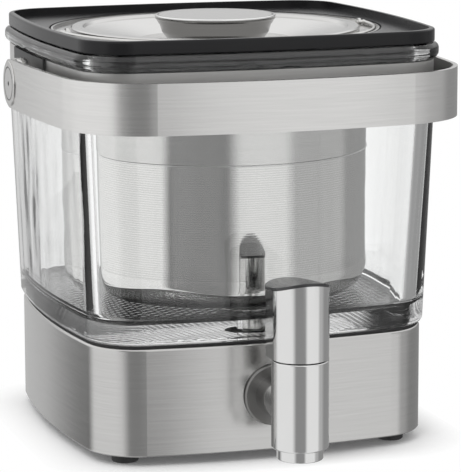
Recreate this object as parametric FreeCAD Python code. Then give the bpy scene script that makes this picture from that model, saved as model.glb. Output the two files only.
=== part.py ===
import FreeCAD, Part
import math
import os

V = FreeCAD.Vector
os.makedirs("parts", exist_ok=True)

# Everything is in millimetres. The jar's own axis stands on x = 0, y = 0 while the
# pieces are drawn; save() then moves them all back so the whole bounding box is centred.

# square plan outline: gently bowed sides and round corners
base_half = 73.5
base_corner = 22.4
base_bow_r = 356.0
jar_corner = 20.5
jar_bow_r = 500.0

# heights from the table up
foot_h = 6.2
base_z0 = 4.2
base_z1 = 47.5
floor_plate_t = 2.0
seat_t = 0.8
seat_inset = 0.9
seat_w = 2.4
glass_z0 = base_z1 + seat_t
glass_floor_z = 55.8
shoulder_z = 133.0
bead_z0 = 155.5
bead_z1 = 162.0

# base sheet and what is screwed under it
base_wall = 1.2
plate_gap = 0.2
deck_hole_r = 11.5
post_r = 4.5
post_at_x = 58.0
post_at_y = 30.0
screw_r = 1.5
screw_head_r = 3.2
screw_head_h = 1.5
foot_r = 5.4
foot_at = 56.0
foot_plug_r = 2.6
foot_barb_r = 3.4
foot_barb_h = 1.6
rib_t = 1.6
rib_h = 4.0

# glass jar
glass_half_low = 74.5
glass_half_high = 76.3
glass_wall_low = 7.5
mouth_half = 70.0
mouth_corner = 15.0
neck_half = 75.1
bead_half = 78.1
drain_y = -36.0
drain_r = 7.0
drain_recess_r = 13.0
drain_recess_h = 1.6

# steel collar round the neck, with its side plates and pivots
collar_t = 1.0
collar_gap = 0.05
collar_z0 = 133.4
collar_z1 = 155.2
side_plate_t = 1.2
side_plate_y0 = -16.0
side_plate_y1 = 36.0
pivot_y = 9.0
pivot_z = 143.4
boss_r = 10.3
pin_r = 4.0
pin_gap = 0.06
washer_t = 0.6
washer_gap = 0.1

# carry handle
band_half = 84.7
band_front = 94.9
band_corner = 34.7
band_front_bow_r = 320.0
band_side_bow_r = 600.0
band_t = 1.8
band_h = 19.8
cap_r = 9.1
cap_t = 0.5
stop_l = 5.0
stop_h = 4.0
stop_reach = 13.0

# jar lid
lid_half = 76.2
lid_corner = 19.5
lid_bow_r = 520.0
lid_z0 = 162.3
lid_deck_z = 164.7
lid_rim_z = 167.6
lid_rim_w = 2.2
lid_hole_r = 68.0
ledge_r = 62.0
ledge_z0 = 160.3
ledge_z1 = 162.4
skirt_z0 = 151.5
skirt_gap = 0.7
skirt_t = 2.0
gasket_z0 = 154.0
gasket_z1 = 157.0
gasket_depth = 1.0
gasket_gap = 0.1

# steeper
flange_r = 67.3
flange_t = 1.0
flange_lip_h = 1.1
lip_r = 57.4
tube_r = 61.2
tube_t = 0.7
fill_line_z = 116.0
cup_z0 = 57.8
cup_top_z = 70.0
cup_edge_r = 10.0
lap_t = 0.5
lap_h = 4.0
screen_t = 0.5
screen_inset = 0.2
lap_gap = 0.03
bail_r = 65.0
bail_lift = 0.15
wire_r = 0.8
bend_r = 0.95
ear_x = 62.3
ear_t = 1.1
ear_w = 3.2

# steeper lid and knob
slid_r = 59.1
slid_t = 0.8
slid_z = 165.2
slid_step_r = 55.0
slid_step_h = 1.1
slid_dish_r = 32.0
slid_dish_z = 159.6
slid_skirt_r = 57.0
slid_skirt_z = 158.6
knob_r = 24.7
knob_foot_r = 20.0
knob_z = 169.8
knob_edge_h = 2.0
knob_step_r = 23.0
knob_step_h = 1.9
knob_step_t = 0.3
knob_swell = 0.5
knob_cap_r = 23.4
knob_cap_t = 0.5
knob_screw_r = 2.5
knob_screw_head_r = 5.0

# tap, standing in front of the base
tap_y = -104.6
tap_r = 11.1
tap_z0 = 12.8
tap_z1 = 47.3
neck_z = 26.5
neck_r = 8.0
neck_bore_r = 3.6
neck_thread_r = 7.0
neck_end_y = -56.0
tap_bore_r = 6.4
tap_bore_z = 43.6
seat_r = 8.2
seat_z1 = 20.4
seat_hole_r = 3.4
nozzle_r = 9.0
nozzle_z0 = 8.4
nozzle_bore_r = 5.6
flange_disc_r = 12.2
flange_disc_t = 1.6
nut_af = 22.0
nut_t = 5.0
gasket_t = 1.2

# tap lever and the valve it lifts
lever_gap = 0.5
lever_back = 7.4
lever_h = 29.6
lever_wall = 1.6
lever_arch_r = 34.0
lever_arch_tilt = 5.7
lever_heel_r = 8.0
lug_half = 3.0
lug_r = 3.7
lug_gap = 0.4
lever_pin_r = 1.5
stem_r = 2.0
stem_gap = 0.05
stem_z1 = 57.6
head_r = 3.8
head_h = 1.6
fork_gap = 0.35
fork_t = 2.0
slot_reach = 1.4
plug_r = 5.2
plug_h = 2.6
plug_gap = 0.1
coil_r = 4.3
coil_wire_r = 0.45
coil_turns = 5

# hose from the jar's drain to the tap
hose_r = 7.0
hose_bore_r = 5.0
hose_bend_r = 8.0
spigot_r = 5.0
spigot_bore_r = 3.6


def outline(half_x, half_y, corner, bow_x, bow_y, z):
    """Closed wire: four bowed sides, each tangent to the round corners between them."""
    a = V(half_x - bow_x, 0, 0)
    b = V(0, half_y - bow_y, 0)
    ra = bow_x - corner
    rb = bow_y - corner
    across = b.sub(a)
    gap = across.Length
    along = (ra * ra - rb * rb + gap * gap) / (2 * gap)
    off = math.sqrt(ra * ra - along * along)
    u = V(across.x / gap, across.y / gap, 0)
    c = a + u * along + V(u.y, -u.x, 0) * off
    if c.x < 0 or c.y < 0:
        c = a + u * along - V(u.y, -u.x, 0) * off
    side = c.sub(a)
    front = c.sub(b)
    p = a + side * (bow_x / side.Length)
    q = b + front * (bow_y / front.Length)
    m = c + V(side.x / side.Length + front.x / front.Length,
              side.y / side.Length + front.y / front.Length, 0).normalize() * corner

    def at(point, sx, sy):
        return V(point.x * sx, point.y * sy, z)

    def arc(one, mid, two):
        return Part.Arc(one, mid, two).toShape()

    edges = []
    edges.append(arc(at(p, 1, -1), V(half_x, 0, z), at(p, 1, 1)))
    edges.append(arc(at(p, 1, 1), at(m, 1, 1), at(q, 1, 1)))
    edges.append(arc(at(q, 1, 1), V(0, half_y, z), at(q, -1, 1)))
    edges.append(arc(at(q, -1, 1), at(m, -1, 1), at(p, -1, 1)))
    edges.append(arc(at(p, -1, 1), V(-half_x, 0, z), at(p, -1, -1)))
    edges.append(arc(at(p, -1, -1), at(m, -1, -1), at(q, -1, -1)))
    edges.append(arc(at(q, -1, -1), V(0, -half_y, z), at(q, 1, -1)))
    edges.append(arc(at(q, 1, -1), at(m, 1, -1), at(p, 1, -1)))
    return Part.Wire(edges)


def square_wire(half, corner, bow, z):
    return outline(half, half, corner, bow, bow, z)


def prism(half, corner, bow, z0, z1):
    """Upright block on the bowed square outline."""
    return Part.Face(square_wire(half, corner, bow, z0)).extrude(V(0, 0, z1 - z0))


def inset(half, corner, bow, t, z0, z1):
    """The same outline moved inward by t."""
    return prism(half - t, corner - t, bow - t, z0, z1)


def taper(low, high):
    """Block between two outlines given as (half, corner, bow, z)."""
    return Part.makeLoft([square_wire(*low), square_wire(*high)], True, True)


def rod(r, start, end):
    way = end.sub(start)
    return Part.makeCylinder(r, way.Length, start, way)


def upright(r, z0, z1, x=0.0, y=0.0):
    return Part.makeCylinder(r, z1 - z0, V(x, y, z0))


def ring(r_out, r_in, z0, z1, x=0.0, y=0.0):
    return upright(r_out, z0, z1, x, y).cut(upright(r_in, z0, z1, x, y))


def block(x0, x1, y0, y1, z0, z1):
    return Part.makeBox(x1 - x0, y1 - y0, z1 - z0, V(x0, y0, z0))


def turned(points, x=0.0, y=0.0):
    """Solid of revolution about an upright axis from (radius, z) corners."""
    corners = [V(x + r, y, z) for r, z in points]
    face = Part.Face(Part.makePolygon(corners + [corners[0]]))
    return face.revolve(V(x, y, 0), V(0, 0, 1), 360)


def edges_at(shape, z, tol=0.01):
    """The edges that lie flat at one height."""
    found = []
    for edge in shape.Edges:
        box = edge.BoundBox
        if abs(box.ZMin - z) < tol and abs(box.ZMax - z) < tol:
            found.append(edge)
    return found


def rounded(shape, z, r):
    return shape.makeFillet(r, edges_at(shape, z))


def mirrored(shape):
    return shape.mirror(V(0, 0, 0), V(1, 0, 0))


def both_sides(shape):
    return [shape, mirrored(shape)]


def save(name, shapes):
    solids = shapes if isinstance(shapes, list) else [shapes]
    solids = [one for shape in solids for one in shape.Solids]
    body = solids[0] if len(solids) == 1 else Part.makeCompound(solids)
    body = body.copy()
    body.translate(V(0, body_shift, 0))
    body.exportStep("parts/" + name + ".step")
    print(name, len(solids), round(body.Volume), body.isValid())


# the front of the tap and the back of the glass bead set the middle of the bounding box
tap_front = tap_y - tap_r
body_shift = -(tap_front + bead_half) / 2


# base
def base_shell():
    outer = prism(base_half, base_corner, base_bow_r, base_z0, base_z1)
    outer = rounded(outer, base_z1, 1.1)
    outer = outer.makeChamfer(0.5, edges_at(outer, base_z0))
    hollow = inset(base_half, base_corner, base_bow_r, base_wall, 0, base_z1 - base_wall)
    shell = outer.cut(hollow)
    shell = shell.cut(upright(deck_hole_r, 0, base_z1 + 1, 0, drain_y))
    return shell.cut(rod(neck_r + 0.1, V(0, -base_half - 5, neck_z), V(0, -base_half + 5, neck_z)))


def corner_points(x, y):
    return [(sx * x, sy * y) for sx in (-1, 1) for sy in (-1, 1)]


def floor_plate():
    z0 = foot_h
    z1 = foot_h + floor_plate_t
    t = base_wall + plate_gap
    plate = inset(base_half, base_corner, base_bow_r, t, z0, z1)
    for at in (-30.0, 0.0, 30.0):
        plate = plate.fuse(block(at - rib_t / 2, at + rib_t / 2, -50, 50, z1, z1 + rib_h))
        plate = plate.fuse(block(-50, 50, at - rib_t / 2, at + rib_t / 2, z1, z1 + rib_h))
    for x, y in corner_points(foot_at, foot_at):
        plate = plate.cut(upright(foot_plug_r, z0 - 1, z1 + 1, x, y))
    for x, y in corner_points(post_at_x, post_at_y):
        plate = plate.cut(upright(screw_r, z0 - 1, z1 + 1, x, y))
    return plate.removeSplitter()


def base_posts():
    z0 = foot_h + floor_plate_t
    posts = []
    for x, y in corner_points(post_at_x, post_at_y):
        post = upright(post_r, z0, base_z1 - base_wall, x, y)
        posts.append(post.cut(upright(screw_r, z0 - 1, z0 + 14, x, y)))
    return posts


def floor_screws():
    screws = []
    z0 = foot_h - screw_head_h
    for x, y in corner_points(post_at_x, post_at_y):
        head = rounded(upright(screw_head_r, z0, foot_h, x, y), z0, 0.6)
        shank = upright(screw_r, foot_h, foot_h + floor_plate_t + 10, x, y)
        screw = head.fuse(shank)
        for long_x, long_y in ((2.0, 0.4), (0.4, 2.0)):
            slot = block(x - long_x, x + long_x, y - long_y, y + long_y, z0 - 1, z0 + 0.9)
            screw = screw.cut(slot)
        screws.append(screw.removeSplitter())
    return screws


def rubber_feet():
    feet = []
    top = foot_h + floor_plate_t
    for x, y in corner_points(foot_at, foot_at):
        pad = rounded(upright(foot_r, 0, foot_h, x, y), 0, 0.9)
        plug = upright(foot_plug_r, foot_h, top, x, y)
        barb = Part.makeCone(foot_barb_r, foot_plug_r - 0.6, foot_barb_h, V(x, y, top))
        feet.append(pad.fuse(plug).fuse(barb))
    return feet


def jar_seat():
    """Narrow rubber ring under the edge of the jar."""
    pad = inset(base_half, base_corner, base_bow_r, seat_inset, base_z1, glass_z0)
    inner = seat_inset + seat_w
    return pad.cut(inset(base_half, base_corner, base_bow_r, inner, base_z1 - 1, glass_z0 + 1))


# glass jar
def glass_jar():
    low = (glass_half_low, base_corner, base_bow_r, glass_z0)
    high = (glass_half_high, jar_corner, jar_bow_r, shoulder_z)
    body = taper(low, high)
    body = rounded(body, glass_z0, 2.5)
    body = rounded(body, shoulder_z, 0.6)
    neck = prism(neck_half, jar_corner - 1.2, jar_bow_r, shoulder_z - 2, bead_z0 + 1)
    bead = prism(bead_half, jar_corner + 1.2, jar_bow_r, bead_z0, bead_z1)
    bead = rounded(bead, bead_z0, 3.0)
    bead = rounded(bead, bead_z1, 2.4)
    solid = body.fuse(neck).fuse(bead)
    floor_half = glass_half_low - glass_wall_low
    hollow_low = (floor_half, base_corner - glass_wall_low, base_bow_r, glass_floor_z)
    hollow_high = (mouth_half, mouth_corner, jar_bow_r, shoulder_z)
    hollow = rounded(taper(hollow_low, hollow_high), glass_floor_z, 4.0)
    mouth = prism(mouth_half, mouth_corner, jar_bow_r, shoulder_z, bead_z1 + 1)
    solid = solid.cut(hollow).cut(mouth)
    recess_z = glass_floor_z - drain_recess_h
    solid = solid.cut(upright(drain_recess_r, recess_z, glass_floor_z + 1, 0, drain_y))
    return solid.cut(upright(drain_r, glass_z0 - 1, glass_floor_z, 0, drain_y))


# drain through the jar's floor and the hose to the tap
def drain_parts():
    recess_z = glass_floor_z - drain_recess_h
    nut_z = base_z1 - base_wall
    end_z = neck_z + hose_bend_r + 0.4
    flange = upright(drain_recess_r - 1.0, recess_z + 0.5, glass_floor_z + 0.2, 0, drain_y)
    flange = rounded(flange, glass_floor_z + 0.2, 0.5)
    shank = upright(drain_r - 0.8, nut_z - 4.0, recess_z + 0.5, 0, drain_y)
    spigot = upright(spigot_r, end_z, nut_z - 4.0, 0, drain_y)
    fitting = flange.fuse(shank).fuse(spigot)
    fitting = fitting.cut(upright(spigot_bore_r, end_z - 1, glass_floor_z + 1, 0, drain_y))
    washer = ring(drain_recess_r - 1.0, drain_r - 0.8, recess_z, recess_z + 0.5, 0, drain_y)
    collar = ring(deck_hole_r, drain_r - 0.8, nut_z, glass_z0, 0, drain_y)
    nut = hexagon(nut_af, nut_z - 4.0, nut_z).cut(upright(drain_r - 0.8, 0, nut_z + 1))
    nut.translate(V(0, drain_y, 0))
    save("drain_fitting", fitting)
    save("drain_washers", [washer, collar])
    save("drain_nut", nut)


def hexagon(across, z0, z1):
    r = across / math.sqrt(3)
    corners = [V(r * math.cos(math.radians(60 * k)), r * math.sin(math.radians(60 * k)), z0)
               for k in range(7)]
    return Part.Face(Part.makePolygon(corners)).extrude(V(0, 0, z1 - z0))


def outlet_hose():
    top = V(0, drain_y, base_z1 - base_wall - 5.0)
    turn = V(0, drain_y, neck_z + hose_bend_r)
    side = hose_bend_r * math.sqrt(0.5)
    mid = V(0, drain_y - hose_bend_r + side, neck_z + hose_bend_r - side)
    out = V(0, drain_y - hose_bend_r, neck_z)
    end = V(0, neck_end_y + 0.5, neck_z)
    turn.z = min(turn.z, top.z - 0.5)
    path = [Part.makeLine(top, turn), Part.Arc(turn, mid, out).toShape(), Part.makeLine(out, end)]
    spine = Part.Wire(path)
    pair = []
    for r in (hose_r, hose_bore_r):
        loop = Part.Wire(Part.makeCircle(r, top, V(0, 0, -1)))
        pair.append(spine.makePipeShell([loop], True, False))
    return pair[0].cut(pair[1])


# tap
def tap_body():
    body = upright(tap_r, tap_z0, tap_z1, 0, tap_y)
    body = rounded(body, tap_z1, 0.5)
    body = rounded(body, tap_z0, 0.8)
    neck_mid = V(0, -base_half - flange_disc_t, neck_z)
    neck = rod(neck_r, V(0, tap_y, neck_z), V(0, -base_half + base_wall + gasket_t, neck_z))
    thread = rod(neck_thread_r, neck_mid, V(0, neck_end_y - 8, neck_z))
    spigot = rod(spigot_r, neck_mid, V(0, neck_end_y + 8, neck_z))
    body = body.fuse(neck).fuse(thread).fuse(spigot)
    body = body.fuse(lever_lug())
    body = body.cut(upright(seat_r, tap_z0 - 1, seat_z1, 0, tap_y))
    body = body.cut(upright(tap_bore_r, seat_z1, tap_bore_z, 0, tap_y))
    body = body.cut(upright(stem_r + stem_gap, tap_bore_z - 1, tap_z1 + 1, 0, tap_y))
    body = body.cut(rod(neck_bore_r, V(0, tap_y, neck_z), V(0, neck_end_y + 10, neck_z)))
    return body.removeSplitter()


def lever_pivot():
    """Middle of the round heel at the lever's lower rear edge."""
    return V(0, tap_y + tap_r + lever_back - lever_heel_r, tap_z1 + lever_gap + lever_heel_r)


def lever_lug():
    at = lever_pivot()
    eye = rod(lug_r, V(-lug_half, at.y, at.z), V(lug_half, at.y, at.z))
    foot_y = tap_y + tap_r - 1.0
    corners = [V(-lug_half, foot_y - 6.2, tap_z1 - 1), V(-lug_half, foot_y, tap_z1 - 1),
               V(-lug_half, at.y + lug_r, at.z), V(-lug_half, at.y - lug_r, at.z)]
    web = Part.Face(Part.makePolygon(corners + [corners[0]])).extrude(V(2 * lug_half, 0, 0))
    lug = eye.fuse(web)
    bore = lever_pin_r + stem_gap
    return lug.cut(rod(bore, V(-lug_half - 1, at.y, at.z), V(lug_half + 1, at.y, at.z)))


def tap_flange():
    y0 = -base_half - flange_disc_t
    disc = rod(flange_disc_r, V(0, y0, neck_z), V(0, -base_half, neck_z))
    rim = [e for e in disc.Edges if abs(e.BoundBox.YMin - y0) < 0.01 and abs(e.BoundBox.YMax - y0) < 0.01]
    disc = disc.makeChamfer(0.6, rim)
    return disc.cut(rod(neck_r, V(0, y0 - 1, neck_z), V(0, 0, neck_z)))


def tap_gasket():
    """Rubber washer whose front follows the bowed sheet."""
    y0 = -base_half + base_wall
    washer = rod(nut_af / 2, V(0, y0, neck_z), V(0, y0 + gasket_t, neck_z))
    washer = washer.common(inset(base_half, base_corner, base_bow_r, base_wall, 0, base_z1))
    return washer.cut(rod(neck_r, V(0, y0 - 1, neck_z), V(0, 0, neck_z)))


def tap_nut():
    y0 = -base_half + base_wall + gasket_t
    nut = hexagon(nut_af, 0, nut_t).cut(upright(neck_thread_r, -1, nut_t + 1))
    nut.rotate(V(0, 0, 0), V(1, 0, 0), -90)
    nut.translate(V(0, y0, neck_z))
    return nut


def valve_seat():
    seat = ring(seat_r, seat_hole_r, seat_z1 - 3.0, seat_z1, 0, tap_y)
    return seat.fuse(ring(seat_r, nozzle_bore_r, tap_z0, seat_z1 - 3.0, 0, tap_y))


def tap_nozzle():
    nozzle = ring(nozzle_r, nozzle_bore_r, nozzle_z0, tap_z0, 0, tap_y)
    rim = [e for e in nozzle.Edges if e.BoundBox.ZMax < nozzle_z0 + 0.01]
    return nozzle.makeFillet(0.5, rim)


# tap lever
def stadium(shrink, z0, z1):
    """Plan of the lever: the tap's own circle drawn out towards the jar."""
    r = tap_r - shrink
    front = upright(r, z0, z1, 0, tap_y)
    rear = upright(r, z0, z1, 0, tap_y + lever_back)
    middle = block(-r, r, tap_y, tap_y + lever_back, z0, z1)
    return front.fuse(rear).fuse(middle).removeSplitter()


def heel_cut(shrink):
    """Side profile of the lever with its lower rear edge rounded about the pivot."""
    at = lever_pivot()
    r = lever_heel_r - shrink
    rear = at.y + r
    low = at.z - r
    front = tap_y - tap_r - 5
    top = at.z + lever_h + 20
    side = r * math.sqrt(0.5)
    arc = Part.Arc(V(0, at.y, low), V(0, at.y + side, at.z - side), V(0, rear, at.z)).toShape()
    lines = [Part.makeLine(V(0, front, low), V(0, at.y, low)), arc,
             Part.makeLine(V(0, rear, at.z), V(0, rear, top)),
             Part.makeLine(V(0, rear, top), V(0, front, top)),
             Part.makeLine(V(0, front, top), V(0, front, low))]
    face = Part.Face(Part.Wire(lines))
    face.translate(V(-tap_r - 5, 0, 0))
    return face.extrude(V(2 * tap_r + 10, 0, 0))


def arch(top_z):
    """Long cylinder whose upper side is the lever's arched top, sloping to the rear."""
    long = Part.makeCylinder(lever_arch_r, 80, V(0, -40, 0), V(0, 1, 0))
    long.rotate(V(0, 0, 0), V(1, 0, 0), -lever_arch_tilt)
    long.translate(V(0, tap_y, top_z - lever_arch_r))
    return long


lever_top = tap_z1 + lever_gap + lever_h
lever_cap_t = 1.2


def tap_lever():
    z0 = tap_z1 + lever_gap
    at = lever_pivot()
    solid = stadium(0, z0, lever_top + 3).common(heel_cut(0)).common(arch(lever_top - lever_cap_t))
    hollow = stadium(lever_wall, z0 - 1, lever_top + 3).common(heel_cut(lever_wall))
    hollow = hollow.common(arch(lever_top - lever_cap_t - 2.0))
    mouth = stadium(lever_wall, z0 - 1, z0 + 3)
    mouth = mouth.common(block(-tap_r, tap_r, tap_y - tap_r, at.y, z0 - 1, z0 + 3))
    slot = block(-lug_half - lug_gap, lug_half + lug_gap, at.y - 1, at.y + lever_heel_r + 1,
                 z0 - 1, at.z - 2.4)
    solid = solid.cut(hollow).cut(mouth).cut(slot)
    cheeks = []
    for sx in (-1, 1):
        inner = sx * (lug_half + lug_gap)
        outer = sx * (tap_r - 0.5)
        cheeks.append(rod(lug_r, V(inner, at.y, at.z), V(outer, at.y, at.z)))
    solid = solid.fuse(cheeks).common(stadium(0, z0, lever_top + 3))
    fork_z = stem_z1 - head_h - fork_gap - fork_t
    fork = stadium(lever_wall / 2, fork_z, fork_z + fork_t)
    fork = fork.common(block(-tap_r, tap_r, tap_y - tap_r, tap_y + 2.6, 0, lever_top))
    slot_y0 = tap_y - head_r - slot_reach
    throat = block(-stem_r - 0.35, stem_r + 0.35, slot_y0, tap_y + 5, 0, lever_top)
    solid = solid.fuse(fork.cut(throat))
    solid = solid.cut(rod(lever_pin_r, V(-tap_r, at.y, at.z), V(tap_r, at.y, at.z)))
    return solid.removeSplitter()


def lever_cap():
    """Dark inlay that closes the lever's top."""
    slab = stadium(0, lever_top - 12, lever_top + 3).common(arch(lever_top))
    return slab.cut(arch(lever_top - lever_cap_t))


def lever_pin():
    at = lever_pivot()
    reach = tap_r - 1.6
    return rod(lever_pin_r, V(-reach, at.y, at.z), V(reach, at.y, at.z))


# valve
def valve_stem():
    low = seat_z1 + plug_gap + plug_h
    shaft = upright(stem_r, seat_z1 + plug_gap + 0.6, stem_z1, 0, tap_y)
    head = rounded(upright(head_r, stem_z1 - head_h, stem_z1, 0, tap_y), stem_z1, 0.4)
    shoulder = upright(plug_r - 0.2, low, low + 0.8, 0, tap_y)
    return shaft.fuse(head).fuse(shoulder)


def stem_seal():
    low = seat_z1 + plug_gap
    plug = upright(plug_r, low, low + plug_h, 0, tap_y)
    return plug.cut(upright(stem_r, low + 0.6, low + plug_h + 1, 0, tap_y))


def stem_spring():
    low = seat_z1 + plug_gap + plug_h + 0.8 + coil_wire_r + 0.05
    high = tap_bore_z - coil_wire_r - 0.05
    pitch = (high - low) / coil_turns
    print("spring gap between turns", round(pitch - 2 * coil_wire_r, 2))
    path = Part.makeHelix(pitch, high - low, coil_r)
    loop = Part.Wire(Part.makeCircle(coil_wire_r, V(coil_r, 0, 0), V(0, 1, 0)))
    coil = Part.Wire(path).makePipeShell([loop], True, True)
    coil.translate(V(0, tap_y, low))
    return coil


# collar and pivots
def neck_collar():
    t = collar_t
    half = neck_half + collar_gap + t
    corner = jar_corner - 1.2 + collar_gap + t
    outer = prism(half, corner, jar_bow_r + t, collar_z0, collar_z1)
    return outer.cut(inset(half, corner, jar_bow_r + t, t, collar_z0 - 1, collar_z1 + 1))


def collar_face():
    return neck_half + collar_gap + collar_t


def side_plates():
    half = collar_face() + side_plate_t
    corner = jar_corner - 1.2 + collar_gap + collar_t + side_plate_t
    bow = jar_bow_r + collar_t + side_plate_t
    wrap = prism(half, corner, bow, collar_z0, collar_z1 + 0.3)
    wrap = wrap.cut(inset(half, corner, bow, side_plate_t, 0, collar_z1 + 1))
    plates = []
    for x0, x1 in ((-90, 0), (0, 90)):
        plates.append(wrap.common(block(x0, x1, side_plate_y0, side_plate_y1, 0, 200)))
    return plates


def pivot_bosses():
    inner = collar_face() + side_plate_t - 0.2
    outer = band_half - band_t - washer_t - washer_gap
    start = V(inner, pivot_y, pivot_z)
    boss = rod(boss_r, start, V(outer, pivot_y, pivot_z))
    boss = boss.cut(ring_x(boss_r, boss_r - 1.2, inner + 2.6, inner + 3.4))
    pin = rod(pin_r, start, V(band_half - 0.15, pivot_y, pivot_z))
    lug = block(outer - 3.2, outer, pivot_y - stop_reach, pivot_y - 6, pivot_z - stop_h - 1.6,
                pivot_z - stop_h + 0.4)
    boss = boss.fuse(pin).fuse(lug).cut(side_plates_all())
    return both_sides(boss.removeSplitter())


def ring_x(r_out, r_in, x0, x1):
    outer = rod(r_out + 1, V(x0, pivot_y, pivot_z), V(x1, pivot_y, pivot_z))
    return outer.cut(rod(r_in, V(x0, pivot_y, pivot_z), V(x1, pivot_y, pivot_z)))


def side_plates_all():
    return Part.makeCompound(side_plates())


def pivot_washers():
    x1 = band_half - band_t - washer_gap
    washer = rod(boss_r - 0.8, V(x1 - washer_t, pivot_y, pivot_z), V(x1, pivot_y, pivot_z))
    washer = washer.cut(rod(pin_r, V(0, pivot_y, pivot_z), V(x1 + 1, pivot_y, pivot_z)))
    return both_sides(washer)


# carry handle
def handle_band():
    z0 = pivot_z - band_h / 2
    reach = band_front + pivot_y
    wires = []
    for t in (0, band_t):
        wires.append(outline(band_half - t, reach - t, band_corner - t, band_side_bow_r - t,
                             band_front_bow_r - t, z0))
    loop = Part.Face(wires[0]).extrude(V(0, 0, band_h))
    loop = loop.cut(Part.Face(wires[1]).extrude(V(0, 0, band_h)))
    loop.translate(V(0, pivot_y, 0))
    reach_box = block(-100, 100, -120, pivot_y, 0, 200)
    ends = rod(band_h / 2, V(-100, pivot_y, pivot_z), V(100, pivot_y, pivot_z))
    band = loop.common(reach_box.fuse(ends))
    for sx in (-1, 1):
        x0 = band_half - band_t - 3.0
        low = pivot_z - stop_h + 0.5
        tab = block(x0, band_half - band_t / 2, pivot_y - stop_reach, pivot_y - stop_reach + 2.2,
                    low, low + stop_l)
        band = band.fuse(tab if sx > 0 else mirrored(tab))
    hole = rod(pin_r + pin_gap, V(-100, pivot_y, pivot_z), V(100, pivot_y, pivot_z))
    return band.cut(hole).removeSplitter()


def handle_caps():
    start = V(band_half, pivot_y, pivot_z)
    cap = rod(cap_r, start, start + V(cap_t, 0, 0))
    rim = [e for e in cap.Edges if e.BoundBox.XMin > band_half + cap_t - 0.01]
    cap = cap.makeFillet(0.25, rim)
    groove = ring_x(cap_r - 2.2, cap_r - 2.7, band_half + cap_t - 0.2, band_half + cap_t + 1)
    groove = groove.common(rod(cap_r - 2.2, V(0, pivot_y, pivot_z), V(100, pivot_y, pivot_z)))
    dot = rod(0.9, V(band_half + cap_t - 0.3, pivot_y, pivot_z), start + V(5, 0, 0))
    return both_sides(cap.cut(groove).cut(dot))


# jar lid
def jar_lid():
    plate = prism(lid_half, lid_corner, lid_bow_r, lid_z0, lid_rim_z)
    plate = rounded(plate, lid_rim_z, 0.9)
    plate = rounded(plate, lid_z0, 0.5)
    well = inset(lid_half, lid_corner, lid_bow_r, lid_rim_w, lid_deck_z, lid_rim_z + 1)
    plate = plate.cut(well)
    half = mouth_half - skirt_gap
    corner = mouth_corner - skirt_gap
    bow = jar_bow_r - skirt_gap
    plug = prism(half, corner, bow, skirt_z0, lid_z0 + 0.1)
    plug = plug.cut(inset(half, corner, bow, skirt_t, skirt_z0 - 1, ledge_z0))
    gland = prism(half + 2, corner + 2, bow + 2, gasket_z0, gasket_z1)
    gland = gland.cut(inset(half, corner, bow, gasket_depth, gasket_z0, gasket_z1))
    lid = plate.fuse(plug).cut(gland)
    lid = lid.cut(upright(lid_hole_r, ledge_z1, lid_rim_z + 1))
    return lid.cut(upright(ledge_r, skirt_z0 - 1, lid_rim_z + 1)).removeSplitter()


def lid_gasket():
    half = mouth_half - gasket_gap
    corner = mouth_corner - gasket_gap
    bow = jar_bow_r - gasket_gap
    t = skirt_gap - gasket_gap + gasket_depth
    seal = prism(half, corner, bow, gasket_z0, gasket_z1)
    return seal.cut(inset(half, corner, bow, t, gasket_z0 - 1, gasket_z1 + 1))


# steeper
def steeper_rim():
    z0 = ledge_z1 + 0.05
    z1 = z0 + flange_t
    outer = flange_r
    tube_in = tube_r - tube_t
    lap_in = tube_in - lap_t
    lap_out = tube_r - screen_inset - screen_t - lap_gap
    body = turned([
        (lip_r, z0), (tube_in, z0), (tube_in, fill_line_z + lap_h), (lap_in, fill_line_z + lap_h - 0.5),
        (lap_in, fill_line_z - lap_h), (lap_out, fill_line_z - lap_h),
        (lap_out, fill_line_z), (tube_r, fill_line_z), (tube_r, z0), (outer, z0),
        (outer, z1 + flange_lip_h), (outer - 0.8, z1 + flange_lip_h), (outer - 0.8, z1), (lip_r, z1)])
    for sx in (-1, 1):
        ear = block(ear_x, ear_x + ear_t, -ear_w / 2, ear_w / 2, z1 - 0.3, bail_z() + 0.2)
        eye = rod(ear_w / 2, V(ear_x, 0, bail_z()), V(ear_x + ear_t, 0, bail_z()))
        ear = ear.fuse(eye).cut(rod(wire_r + 0.06, V(0, 0, bail_z()), V(90, 0, bail_z())))
        ear = ear.common(block(0, 90, -10, 10, z0 + 0.2, 200))
        body = body.fuse(ear if sx > 0 else mirrored(ear))
    return body.removeSplitter()


def bail_z():
    return ledge_z1 + 0.05 + flange_t + wire_r + bail_lift


def steeper_screen():
    r = tube_r - screen_inset
    return ring(r, r - screen_t, cup_top_z, fill_line_z - 0.05)


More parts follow.
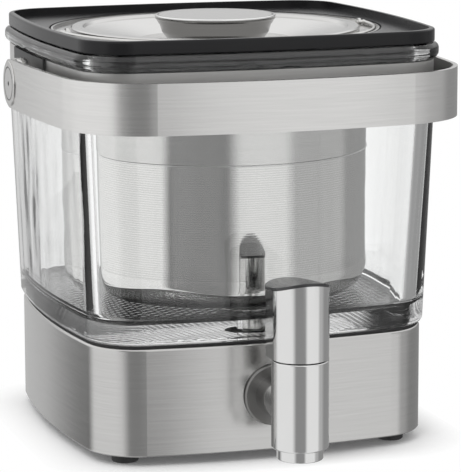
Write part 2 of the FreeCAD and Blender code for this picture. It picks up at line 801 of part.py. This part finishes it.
def steeper_cup():
    r = tube_r
    t = tube_t
    z0 = cup_z0
    z1 = cup_top_z
    edge = cup_edge_r
    half = math.sqrt(0.5)
    outer_mid = V(r - edge + edge * half, 0, z0 + edge - edge * half)
    inner_mid = V(r - edge + (edge - t) * half, 0, z0 + edge - (edge - t) * half)
    lap = r - screen_inset - screen_t - lap_gap
    lines = [
        Part.makeLine(V(0, 0, z0), V(r - edge, 0, z0)),
        Part.Arc(V(r - edge, 0, z0), outer_mid, V(r, 0, z0 + edge)).toShape(),
        Part.makeLine(V(r, 0, z0 + edge), V(r, 0, z1)),
        Part.makeLine(V(r, 0, z1), V(lap, 0, z1)),
        Part.makeLine(V(lap, 0, z1), V(lap, 0, z1 + lap_h)),
        Part.makeLine(V(lap, 0, z1 + lap_h), V(lap - lap_t, 0, z1 + lap_h)),
        Part.makeLine(V(lap - lap_t, 0, z1 + lap_h), V(lap - lap_t, 0, z1)),
        Part.makeLine(V(lap - lap_t, 0, z1), V(r - t, 0, z1 - 1)),
        Part.makeLine(V(r - t, 0, z1 - 1), V(r - t, 0, z0 + edge)),
        Part.Arc(V(r - t, 0, z0 + edge), inner_mid, V(r - edge, 0, z0 + t)).toShape(),
        Part.makeLine(V(r - edge, 0, z0 + t), V(0, 0, z0 + t)),
        Part.makeLine(V(0, 0, z0 + t), V(0, 0, z0))]
    return Part.Face(Part.Wire(lines)).revolve(V(0, 0, 0), V(0, 0, 1), 360)


def steeper_bail():
    z = bail_z()
    arc = Part.Arc(V(-bail_r, 0, z), V(0, -bail_r, z), V(bail_r, 0, z)).toShape()
    loop = Part.Wire(Part.makeCircle(wire_r, V(-bail_r, 0, z), V(0, -1, 0)))
    wire = Part.Wire(arc).makePipeShell([loop], True, True)
    for sx in (-1, 1):
        wire = wire.fuse(Part.makeSphere(bend_r, V(sx * bail_r, 0, z)))
        wire = wire.fuse(rod(wire_r, V(sx * (ear_x - 0.6), 0, z), V(sx * bail_r, 0, z)))
    return wire.removeSplitter()


# steeper lid with its knob
def steeper_lid():
    t = slid_t
    z = slid_z
    low = ledge_z1 + 0.05 + flange_t + 0.05
    pan = turned([
        (0, slid_dish_z), (slid_dish_r, slid_dish_z), (slid_step_r - 1.5, z - slid_step_h),
        (slid_step_r - 0.6, z), (slid_r - 0.5, z), (slid_r, z - 0.5), (slid_r, low),
        (slid_r - t, low), (slid_r - t, z - t), (slid_step_r, z - t),
        (slid_step_r - 1.0, z - slid_step_h - t), (slid_dish_r + 0.3, slid_dish_z - t),
        (0, slid_dish_z - t)])
    skirt = ring(slid_skirt_r, slid_skirt_r - t, slid_skirt_z, z - t / 2)
    pan = pan.fuse(skirt)
    return pan.cut(upright(knob_screw_r, 0, slid_dish_z + 1)).removeSplitter()


def knob_body():
    z0 = slid_dish_z
    z1 = knob_z
    edge = z1 - knob_edge_h
    ledge = edge - knob_step_h
    waist = (z0 + ledge) / 2
    waist_r = (knob_foot_r + knob_step_r) / 2 + knob_swell
    body = turned([
        (0, z0), (knob_foot_r - 0.4, z0), (knob_foot_r, z0 + 0.4), (waist_r, waist),
        (knob_step_r, ledge), (knob_step_r, ledge + knob_step_t), (knob_step_r + 0.4, ledge + knob_step_t),
        (knob_r - 0.4, edge), (knob_r, edge + 0.4), (knob_r, z1 - 0.7), (knob_r - 0.7, z1),
        (knob_cap_r, z1), (knob_cap_r, z1 - knob_cap_t), (0, z1 - knob_cap_t)])
    return body.cut(upright(knob_screw_r, 0, z0 + 6))


def knob_cap():
    cap = upright(knob_cap_r, knob_z - knob_cap_t, knob_z)
    return cap.makeChamfer(0.25, edges_at(cap, knob_z))


def knob_screw():
    z = slid_dish_z - slid_t
    head = rounded(upright(knob_screw_head_r, z - 2.4, z), z - 2.4, 0.9)
    slot = block(-6, 6, -0.6, 0.6, z - 3, z - 1.4)
    return head.fuse(upright(knob_screw_r, z, slid_dish_z + 5.5)).cut(slot)


save("base_shell", base_shell())
save("base_posts", base_posts())
save("floor_plate", floor_plate())
save("floor_screws", floor_screws())
save("rubber_feet", rubber_feet())
save("jar_seat", jar_seat())
save("glass_jar", glass_jar())
drain_parts()
save("outlet_hose", outlet_hose())
save("tap_body", tap_body())
save("tap_flange", tap_flange())
save("tap_gasket", tap_gasket())
save("tap_nut", tap_nut())
save("valve_seat", valve_seat())
save("tap_nozzle", tap_nozzle())
save("neck_collar", neck_collar())
save("side_plates", side_plates())
save("pivot_bosses", pivot_bosses())
save("pivot_washers", pivot_washers())
save("handle_band", handle_band())
save("handle_caps", handle_caps())
save("tap_lever", tap_lever())
save("lever_cap", lever_cap())
save("lever_pin", lever_pin())
save("valve_stem", valve_stem())
save("stem_seal", stem_seal())
save("stem_spring", stem_spring())
save("jar_lid", jar_lid())
save("lid_gasket", lid_gasket())
save("steeper_rim", steeper_rim())
save("steeper_screen", steeper_screen())
save("steeper_cup", steeper_cup())
save("steeper_bail", steeper_bail())
save("steeper_lid", steeper_lid())
save("knob_body", knob_body())
save("knob_cap", knob_cap())
save("knob_screw", knob_screw())
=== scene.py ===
import math

import bmesh
import bpy
from mathutils import Matrix, Vector


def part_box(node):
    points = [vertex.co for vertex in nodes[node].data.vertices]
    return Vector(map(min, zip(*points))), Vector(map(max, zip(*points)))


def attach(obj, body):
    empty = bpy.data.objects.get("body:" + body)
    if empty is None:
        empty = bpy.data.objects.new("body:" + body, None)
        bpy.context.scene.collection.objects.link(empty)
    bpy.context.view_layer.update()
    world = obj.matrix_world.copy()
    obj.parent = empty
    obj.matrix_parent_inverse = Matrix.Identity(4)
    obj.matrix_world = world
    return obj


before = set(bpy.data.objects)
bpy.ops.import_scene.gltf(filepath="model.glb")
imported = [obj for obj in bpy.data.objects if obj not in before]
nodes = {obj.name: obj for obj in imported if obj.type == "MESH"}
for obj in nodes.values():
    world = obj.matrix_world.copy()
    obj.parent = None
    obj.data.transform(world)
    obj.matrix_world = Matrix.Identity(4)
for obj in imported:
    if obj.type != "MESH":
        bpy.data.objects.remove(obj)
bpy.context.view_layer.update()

MM = 0.001
TURN = 2 * math.pi

# camera, at the photograph's place and angle, in metres and degrees
CAMERA_AT = Vector((-0.3367, -1.0313, 0.2745))
CAMERA_YAW = 18.09
CAMERA_DOWN = 10.14
CAMERA_ROLL = -0.14
FOCAL_PIXELS = 2695.07
PHOTO_LONG_SIDE = 472
SENSOR = 36.0

# flats that stand round the studio for metal to mirror: from and to, in degrees from the front
# counted towards the right, and how bright each is; the gaps between them are soft edges
FLATS = [
    (-180, -160, 0.6), (-150, -60, 1.0), (-50, -10, 0.2), (0, 35, 0.9), (45, 90, 0.5),
    (100, 145, 0.3), (160, 180, 0.6),
]
# the lower flats, for rays that fall more steeply than LOW_SLOPE
LOW_FLATS = [
    (-180, -165, 0.6), (-150, -140, 0.2), (-120, -50, 0.9), (-35, 0, 0.3), (10, 55, 0.9),
    (65, 75, 0.5), (90, 145, 0.3), (160, 180, 0.6),
]
LOW_SLOPE = -0.175
CEILING_FROM = 0.12
CEILING_RISE = 4.0
AMBIENT = 0.82
# the white backdrop that clear glass shows, and how far stray glass rays see the flats
BACKDROP_EDGE = 0.72
BACKDROP_TOP = 0.3
STRAY_SHARE = 0.75

LAMP_AT = (-0.9, -0.9, 1.5)
LAMP_AIM = (0.0, 0.0, 0.08)
LAMP_SIZE = 0.9
LAMP_WATTS = 10.0
FLOOR_HALF = 6.0
FLOOR_SHADE = 0.95
SHADOW_REACH = 15.0 * MM
BASE_CORNER_R = 22.0 * MM

# trim beads
SEAM_Z = 116.0 * MM
SEAM_RING_R = 61.25 * MM
SEAM_WIRE_R = 0.3 * MM
KNOB_BEAD_R = 0.5 * MM

# glass: the floor's studs, with painted shade on their raised tops, and the neck's ribs
GLASS_FLOOR_Z = 55.95 * MM
STUD_ACROSS = 5.2 * MM
STUD_ALONG = 4.0 * MM
STUDS_R = 71.0 * MM
STUD_HEIGHT = 0.35
STUD_SHADE_FROM = 0.2
NECK_Z = 152.0 * MM
NECK_RIB = 2.7 * MM
RIB_HEIGHT = 0.35
WAVE_HEIGHT = 1.2
CLOUD_HEIGHT = 0.02

# strainer cloth
WEAVE_PITCH = 0.9 * MM
WEAVE_R = 60.3 * MM

# the painted shade in the handle caps' groove and dot, and on the base's top under the glass
CAP_DOT_R = 0.95 * MM
CAP_GROOVE_R = 6.9 * MM
CAP_GROOVE_W = 0.5 * MM
PAINTED_SHADE_DROP = 0.15 * MM

# brush lines per metre on turned pieces
RINGS = 5200.0
STEEL = (0.70, 0.695, 0.685)
CHROME = (0.86, 0.86, 0.855)
GLASS = (0.992, 0.997, 0.995, 1.0)


class Value:
    """A socket that takes part in sums; every operator adds one Math node."""

    def __init__(self, finish, socket):
        self.finish = finish
        self.socket = socket

    def __add__(self, other):
        return self.finish.math("ADD", self, other)

    __radd__ = __add__

    def __sub__(self, other):
        return self.finish.math("SUBTRACT", self, other)

    def __rsub__(self, other):
        return self.finish.math("SUBTRACT", other, self)

    def __mul__(self, other):
        return self.finish.math("MULTIPLY", self, other)

    __rmul__ = __mul__

    def __truediv__(self, other):
        return self.finish.math("DIVIDE", self, other)

    def __rtruediv__(self, other):
        return self.finish.math("DIVIDE", other, self)

    def __pow__(self, other):
        return self.finish.math("POWER", self, other)

    def __neg__(self):
        return self * -1.0

    def above(self, level):
        return self.finish.math("GREATER_THAN", self, level)

    def below(self, level):
        return self.finish.math("LESS_THAN", self, level)

    def sine(self):
        return self.finish.math("SINE", self)

    def size(self):
        return self.finish.math("ABSOLUTE", self)

    def held(self):
        """Kept between 0 and 1."""
        return self.finish.math("ADD", self, 0.0, use_clamp=True)


class Finish:
    """The node tree of one material, or of the world."""

    def __init__(self, owner):
        owner.use_nodes = True
        self.owner = owner
        self.tree = owner.node_tree
        self.tree.nodes.clear()

    def node(self, kind, settings=None, **values):
        """Adds a node: its settings first, then values or links by socket name."""
        made = self.tree.nodes.new(kind)
        for name, setting in (settings or {}).items():
            if name == "stops":
                ramp = made.color_ramp.elements
                while len(ramp) < len(setting):
                    ramp.new(0.5)
                for stop, (place, level) in zip(ramp, setting):
                    stop.position = place
                    stop.color = level if isinstance(level, tuple) else (level, level, level, 1)
            else:
                setattr(made, name, setting)
        for name, value in values.items():
            key = int(name[1:]) if name[0] == "_" else name.replace("_", " ")
            self.feed(made.inputs[key], value)
        return made

    def feed(self, socket, value):
        if isinstance(value, Value):
            value = value.socket
        if isinstance(value, bpy.types.NodeSocket):
            self.tree.links.new(value, socket)
        else:
            socket.default_value = value

    def math(self, operation, *terms, use_clamp=False):
        settings = {"operation": operation, "use_clamp": use_clamp}
        made = self.node("ShaderNodeMath", settings)
        for socket, term in zip(made.inputs, terms):
            self.feed(socket, term)
        return Value(self, made.outputs[0])

    def place(self):
        """Object coordinates, in metres."""
        return self.node("ShaderNodeTexCoord").outputs["Object"]

    def parts(self, vector):
        made = self.node("ShaderNodeSeparateXYZ", _0=vector)
        return [Value(self, socket) for socket in made.outputs]

    def joined(self, x, y, z):
        return self.node("ShaderNodeCombineXYZ", _0=x, _1=y, _2=z).outputs[0]

    def noise(self, vector, scale, detail=2.0, roughness=0.5):
        made = self.node("ShaderNodeTexNoise", Vector=vector, Scale=scale, Detail=detail,
                         Roughness=roughness)
        return Value(self, made.outputs["Fac"])

    def stretched(self, x, y, z):
        """The place on the piece, scaled along each axis."""
        made = self.node("ShaderNodeVectorMath", {"operation": "MULTIPLY"}, _0=self.place(),
                         _1=(x, y, z))
        return made.outputs[0]

    def reach(self, across, along):
        """Distance from an axis, from the two offsets."""
        return (across ** 2.0 + along ** 2.0) ** 0.5

    def blend(self, share, one, two):
        made = self.node("ShaderNodeMix", {"data_type": "RGBA"}, _0=share, _6=one, _7=two)
        return made.outputs[2]

    def bump(self, height, strength, depth):
        made = self.node("ShaderNodeBump", Height=height, Strength=strength, Distance=depth)
        return made.outputs[0]

    def surface(self, **values):
        shader = self.node("ShaderNodeBsdfPrincipled", **values)
        self.node("ShaderNodeOutputMaterial", Surface=shader.outputs[0])


def finish(name):
    return Finish(bpy.data.materials.new(name))


def grey(level):
    return (level, level, level, 1.0)


def tint(colour, level=1.0):
    return tuple(c * level for c in colour) + (1.0,)


def streaked(paint, lines=1500.0, along=22.0):
    """Fine brush lines that run round the piece, level with the table."""
    fine = paint.noise(paint.stretched(along, along, lines * 2.6), 1.0, 3.0)
    broad = paint.noise(paint.stretched(along * 2, along * 2, lines), 1.0, 2.0)
    return fine * 0.55 + broad * 0.45


def brushed_round(name, tone, rough, painted_shade_z=1.0):
    """Brushed sheet steel; above the given height it is painted near-black and matt: painted shade
    in the seam under the glass.
    """
    paint = finish(name)
    # painted shade: above this height the steel is painted near-black, matt and not metallic
    painted_shade_top = paint.parts(paint.place())[2].above(painted_shade_z)
    grain = streaked(paint)
    smear = paint.noise(paint.place(), 34.0, 3.0)
    shade = paint.blend((grain - 0.28) * 1.8, tint(STEEL, tone * 0.92), tint(STEEL, tone * 1.05))
    paint.surface(Base_Color=paint.blend(painted_shade_top, shade, grey(0.03)), Metallic=1.0 - painted_shade_top,
                  Roughness=rough + (grain - 0.5) * 0.10 + (smear - 0.5) * 0.05 + painted_shade_top * 0.3,
                  Normal=paint.bump(grain, 0.35, 0.02 * MM))
    return paint.owner


def brushed_turned(name, centre, tone, rough):
    """Brush lines that run in circles round an upright axis, as lathe-finished tops have."""
    paint = finish(name)
    x, y, z = paint.parts(paint.place())
    away = paint.reach(x - centre.x, y - centre.y)
    line = paint.noise(paint.joined(away * RINGS, z * 300.0, 0.0), 1.0, 3.0)
    turn = paint.math("ARCTAN2", y - centre.y, x - centre.x)
    fleck = paint.noise(paint.joined(away * RINGS * 0.6, turn * 3.0, 0.0), 1.0, 2.0)
    grain = line * 0.5 + fleck * 0.5
    shade = paint.blend((grain - 0.3) * 1.9, tint(STEEL, tone * 0.93), tint(STEEL, tone * 1.06))
    paint.surface(Base_Color=shade, Metallic=1.0, Roughness=rough + (grain - 0.5) * 0.12,
                  Normal=paint.bump(grain, 0.3, 0.03 * MM))
    return paint.owner


def brushed_disc(name, centre):
    """Circular brush lines on a disc that faces sideways, with painted shade in its groove and
    centre dot.
    """
    paint = finish(name)
    x, y, z = paint.parts(paint.place())
    away = paint.reach(y - centre.y, z - centre.z)
    grain = paint.noise(paint.joined(away * RINGS, x * 90.0, 0.0), 1.0, 3.0)
    shade = paint.blend((grain - 0.3) * 1.9, tint(STEEL, 0.92), tint(STEEL, 1.05))
    # painted shade: the groove and the centre dot are painted near-black
    groove = away.above(CAP_GROOVE_R - CAP_GROOVE_W) * away.below(CAP_GROOVE_R)
    painted_recess_shade = (away.below(CAP_DOT_R) + groove).held()
    paint.surface(Base_Color=paint.blend(painted_recess_shade * 0.8, shade, grey(0.03)), Metallic=1.0,
                  Roughness=0.2 + (grain - 0.5) * 0.1, Normal=paint.bump(grain, 0.3, 0.03 * MM))
    return paint.owner


def polished(name, colour, rough):
    """Polished or satin steel, with a faint haze and hair lines."""
    paint = finish(name)
    haze = paint.noise(paint.place(), 60.0, 4.0, 0.6)
    hair = paint.noise(paint.stretched(40.0, 40.0, 1900.0), 1.0, 2.0)
    shade = paint.blend(haze, tint(colour, 0.97), tint(colour, 1.02))
    paint.surface(Base_Color=shade, Metallic=1.0, Roughness=rough + haze * 0.03 + hair * 0.03,
                  Normal=paint.bump(hair, 0.08, 0.02 * MM))
    return paint.owner


def mesh_steel(name, axis, foot, top, tone):
    """Fine woven strainer cloth between two heights, plain sheet above and below."""
    paint = finish(name)
    x, y, z = paint.parts(paint.place())
    turn = paint.math("ARCTAN2", y - axis.y, x - axis.x)
    rows = (z * (TURN / WEAVE_PITCH)).sine()
    posts = (turn * (TURN * WEAVE_R / WEAVE_PITCH)).sine()
    woven = z.above(foot) * z.below(top)
    weave = ((rows * 0.9 + posts * 0.1) * 0.5 + 0.5) * woven
    shade = paint.blend(weave, tint(STEEL, tone * 0.97), tint(STEEL, tone * 0.84))
    haze = paint.noise(paint.place(), 45.0, 3.0)
    paint.surface(Base_Color=shade, Metallic=1.0,
                  Roughness=0.035 + woven * 0.01 + (haze - 0.5) * 0.02,
                  Normal=paint.bump(weave, 0.25, 0.01 * MM))
    return paint.owner


def moulded(name, colour, rough, gloss=0.5):
    """Moulded plastic or rubber with a fine spark texture and faint flow marks."""
    paint = finish(name)
    spark = paint.noise(paint.place(), 2600.0, 2.0, 0.6)
    flow = paint.noise(paint.place(), 18.0, 3.0)
    shade = paint.blend(flow, tint(colour, 0.88), tint(colour, 1.12))
    paint.surface(Base_Color=shade, Roughness=rough + (spark - 0.5) * 0.12 + (flow - 0.5) * 0.08,
                  Specular_IOR_Level=gloss, Normal=paint.bump(spark, 0.25, 0.03 * MM))
    return paint.owner


def clear_glass(name, centre):
    """Thick pressed glass: small studs on both sides of its floor, their raised tops painted grey
    as painted shade, ribs round its neck.
    """
    paint = finish(name)
    x, y, z = paint.parts(paint.place())
    east = x - centre.x
    north = y - centre.y
    low = z.below(GLASS_FLOOR_Z)
    within = paint.reach(east, north).below(STUDS_R)
    studs = (east * (TURN / STUD_ACROSS)).sine() * (north * (TURN / STUD_ALONG)).sine()
    # painted shade: the raised tops of the floor's studs are painted grey
    painted_stud_shade = studs.above(STUD_SHADE_FROM) * low * within
    cloud = paint.noise(paint.place(), 22.0, 2.0)
    wave = paint.noise(paint.stretched(34.0, 34.0, 7.0), 1.0, 2.0)
    ribs = (z * (TURN / NECK_RIB)).sine() * z.above(NECK_Z)
    height = (studs * low * within * STUD_HEIGHT + cloud * CLOUD_HEIGHT
              + wave * (1.0 - low) * WAVE_HEIGHT + ribs * RIB_HEIGHT)
    paint.surface(Base_Color=paint.blend(painted_stud_shade * 0.6, GLASS, grey(0.25)), Roughness=0.0,
                  Transmission_Weight=1.0, IOR=1.5, Normal=paint.bump(height, 0.5, 0.6 * MM))
    return paint.owner


def frosted(name, colour):
    """Milky silicone that lets half the light through."""
    paint = finish(name)
    cloud = paint.noise(paint.place(), 120.0, 3.0)
    shade = paint.blend(cloud, tint(colour, 0.94), tint(colour, 1.04))
    paint.surface(Base_Color=shade, Roughness=0.35 + (cloud - 0.5) * 0.1,
                  Transmission_Weight=0.5, Normal=paint.bump(cloud, 0.1, 0.03 * MM))
    return paint.owner


def placed(name, data):
    made = bpy.data.objects.new(name, data)
    bpy.context.scene.collection.objects.link(made)
    return made


def meshed(name, shape):
    mesh = bpy.data.meshes.new(name)
    shape.to_mesh(mesh)
    shape.free()
    return placed(name, mesh)


def bead(name, centre, ring_r, wire_r):
    """A closed ring of round wire, level with the table."""
    shape = bmesh.new()
    section = bmesh.ops.create_circle(shape, cap_ends=False, segments=10, radius=wire_r)["verts"]
    upright = Matrix.Rotation(math.pi / 2, 4, "X")
    outwards = Matrix.Translation(centre + Vector((ring_r, 0, 0)))
    bmesh.ops.transform(shape, matrix=outwards @ upright, verts=section)
    bmesh.ops.spin(shape, geom=shape.verts[:] + shape.edges[:], cent=centre, axis=(0, 0, 1),
                   angle=TURN, steps=160, use_merge=True)
    bmesh.ops.recalc_face_normals(shape, faces=shape.faces[:])
    for face in shape.faces:
        face.smooth = True
    return meshed(name, shape)


def dress(node, material):
    """Gives a CAD node one material all over."""
    mesh = nodes[node].data
    mesh.materials.clear()
    mesh.materials.append(material)


def middle(node):
    low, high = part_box(node)
    return (low + high) / 2


def round_studio(paint, x, y, flats):
    """Brightness of the flats round the studio, by heading."""
    heading = paint.math("ARCTAN2", x, -y) / TURN + 0.5
    stops = [((edge + 180) / 360, level) for start, end, level in flats for edge in (start, end)]
    return paint.node("ShaderNodeValToRGB", {"stops": stops}, Fac=heading).outputs[0]


def light_path(paint):
    """What tells rays apart: met metal before, went through glass last, and lights a matt face."""
    path = paint.node("ShaderNodeLightPath").outputs
    mirrored = Value(paint, path["Glossy Depth"]).above(0.5)
    through = Value(paint, path["Is Transmission Ray"])
    return mirrored, through, Value(paint, path["Is Diffuse Ray"])


def set_camera():
    data = bpy.data.cameras.new("camera")
    data.sensor_width = SENSOR
    data.lens = FOCAL_PIXELS / PHOTO_LONG_SIDE * SENSOR
    camera = placed("camera", data)
    camera.matrix_world = (
        Matrix.Translation(CAMERA_AT)
        @ Matrix.Rotation(math.radians(-CAMERA_YAW), 4, "Z")
        @ Matrix.Rotation(math.radians(90 - CAMERA_DOWN), 4, "X")
        @ Matrix.Rotation(math.radians(CAMERA_ROLL), 4, "Z")
    )
    bpy.context.scene.camera = camera


def set_world():
    """White all round, except that mirrored and stray glass rays see the flats."""
    world = bpy.data.worlds.new("studio")
    bpy.context.scene.world = world
    paint = Finish(world)
    x, y, z = paint.parts(paint.node("ShaderNodeTexCoord").outputs["Generated"])
    mirrored, through, matt = light_path(paint)
    steep = z.below(LOW_SLOPE) * (1.0 - through)
    level_walls = round_studio(paint, x, y, FLATS)
    low_walls = round_studio(paint, x, y, LOW_FLATS)
    walls = paint.blend(steep, level_walls, low_walls)
    ceiling = ((z - CEILING_FROM) * CEILING_RISE).held()
    seen = paint.blend(ceiling, walls, grey(1.0))
    ambient = paint.blend(matt, grey(1.0), grey(AMBIENT))
    yaw = math.radians(CAMERA_YAW)
    behind = (x * math.sin(yaw) + y * math.cos(yaw)).above(BACKDROP_EDGE)
    astray = through * (1.0 - behind * z.below(BACKDROP_TOP)) * STRAY_SHARE
    colour = paint.blend((mirrored + astray).held(), ambient, seen)
    back = paint.node("ShaderNodeBackground", Color=colour, Strength=1.0)
    paint.node("ShaderNodeOutputWorld", Surface=back.outputs[0])


def set_lamp():
    """One soft lamp from the upper left; metal doesn't mirror it."""
    area = bpy.data.lights.new("soft_lamp", "AREA")
    area.size = LAMP_SIZE
    area.energy = LAMP_WATTS
    lamp = placed("soft_lamp", area)
    lamp.visible_glossy = False
    lamp.location = LAMP_AT
    aim = Vector(LAMP_AIM) - lamp.location
    turned = aim.to_track_quat("-Z", "Y").to_matrix().to_4x4()
    lamp.matrix_world = Matrix.Translation(lamp.location) @ turned


def set_floor():
    """White floor that takes a shadow only close to the base; mirrored rays pass through it."""
    shape = bmesh.new()
    bmesh.ops.create_grid(shape, x_segments=1, y_segments=1, size=FLOOR_HALF)
    floor = meshed("floor", shape)
    paint = finish("floor_white")
    mirrored, through, matt = light_path(paint)
    low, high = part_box("base_shell")
    half = (high - low) / 2
    centre = (low + high) / 2
    x, y, z = paint.parts(paint.place())
    beside = ((x - centre.x).size() - half.x + BASE_CORNER_R).held()
    before = ((y - centre.y).size() - half.y + BASE_CORNER_R).held()
    away = (paint.reach(beside, before) - BASE_CORNER_R).held()
    near = (1.0 - away / SHADOW_REACH).held()
    shade = (1.0 - through) * near * FLOOR_SHADE
    shaded = paint.node("ShaderNodeBsdfDiffuse", Color=grey(1.0)).outputs[0]
    white = paint.node("ShaderNodeEmission", Color=grey(1.0), Strength=1.0).outputs[0]
    clear = paint.node("ShaderNodeBsdfTransparent").outputs[0]
    look = paint.node("ShaderNodeMixShader", _0=shade, _1=white, _2=shaded).outputs[0]
    both = paint.node("ShaderNodeMixShader", _0=mirrored, _1=look, _2=clear).outputs[0]
    paint.node("ShaderNodeOutputMaterial", Surface=both)
    floor.data.materials.append(paint.owner)


def dress_all():
    """Gives every CAD node its finish."""
    jar = middle("glass_jar")
    knob = middle("knob_body")
    cap = middle("handle_caps")
    screen_low, screen_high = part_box("steeper_screen")
    # the painted shade starts just below the base's top, where the glass stands
    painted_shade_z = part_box("base_shell")[1].z - PAINTED_SHADE_DROP
    body_steel = brushed_round("brushed_base_steel", 0.86, 0.18, painted_shade_z)
    collar_steel = brushed_round("brushed_collar_steel", 0.9, 0.42)
    band_steel = brushed_round("brushed_band_steel", 1.03, 0.25)
    chrome = polished("polished_tap_steel", (0.78, 0.78, 0.775), 0.07)
    # painted shade: the knob's polished side is given a near-black steel colour
    knob_side_painted_shade = polished("polished_knob_side_painted_shade", (0.23, 0.227, 0.222), 0.02)
    small_steel = polished("plain_bright_steel", (0.72, 0.715, 0.70), 0.16)
    # painted shade: the tap's flange is given a near-black satin steel colour
    satin_painted_shade = polished("satin_flange_painted_shade", (0.22, 0.217, 0.212), 0.3)
    black = moulded("black_lid_plastic", (0.013, 0.013, 0.014), 0.2, gloss=0.2)
    grey_plastic = moulded("grey_fitting_plastic", (0.16, 0.16, 0.165), 0.4)
    rubber = moulded("black_rubber", (0.018, 0.018, 0.019), 0.6)
    silicone = frosted("clear_silicone", (0.86, 0.87, 0.88))
    strainer = mesh_steel("strainer_steel", jar, screen_low.z, screen_high.z, 1.15)
    finishes = {
        body_steel: ["base_shell", "side_plates"],
        collar_steel: ["neck_collar"],
        band_steel: ["handle_band"],
        brushed_disc("brushed_cap_steel", cap): ["handle_caps"],
        brushed_turned("turned_lid_steel", knob, 1.0, 0.14): ["steeper_lid", "steeper_rim"],
        brushed_turned("turned_knob_steel", knob, 0.98, 0.2): ["knob_cap"],
        chrome: ["tap_body", "tap_lever", "tap_nozzle"],
        knob_side_painted_shade: ["knob_body"],
        satin_painted_shade: ["tap_flange"],
        small_steel: ["base_posts", "floor_screws", "drain_fitting", "pivot_bosses", "lever_pin",
                      "valve_stem", "stem_spring", "steeper_bail", "knob_screw"],
        strainer: ["steeper_screen", "steeper_cup"],
        black: ["jar_lid"],
        moulded("black_lever_inlay", (0.03, 0.03, 0.031), 0.22): ["lever_cap"],
        grey_plastic: ["floor_plate", "drain_nut", "tap_nut", "valve_seat", "pivot_washers"],
        rubber: ["rubber_feet", "jar_seat", "tap_gasket", "lid_gasket"],
        silicone: ["drain_washers", "outlet_hose", "stem_seal"],
        clear_glass("clear_jar_glass", jar): ["glass_jar"],
    }
    for material, names in finishes.items():
        for name in names:
            dress(name, material)


def add_beads():
    """The weld line round the strainer and the bright rim round the knob."""
    jar = middle("glass_jar")
    seam = bead("steeper_seam_bead", Vector((jar.x, jar.y, SEAM_Z)), SEAM_RING_R, SEAM_WIRE_R)
    seam.data.materials.append(polished("bright_seam_steel", (0.9, 0.9, 0.895), 0.2))
    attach(seam, "steeper_unit")
    knob = middle("knob_body")
    knob_low, knob_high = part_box("knob_body")
    rim_at = Vector((knob.x, knob.y, knob_high.z - KNOB_BEAD_R))
    rim_r = (knob_high.x - knob_low.x) / 2 - KNOB_BEAD_R
    rim = bead("knob_rim_bead", rim_at, rim_r, KNOB_BEAD_R)
    rim.data.materials.append(polished("polished_rim_steel", CHROME, 0.03))
    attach(rim, "steeper_lid_unit")


bpy.context.scene.view_settings.view_transform = "Standard"
set_camera()
set_world()
set_lamp()
set_floor()
dress_all()
add_beads()
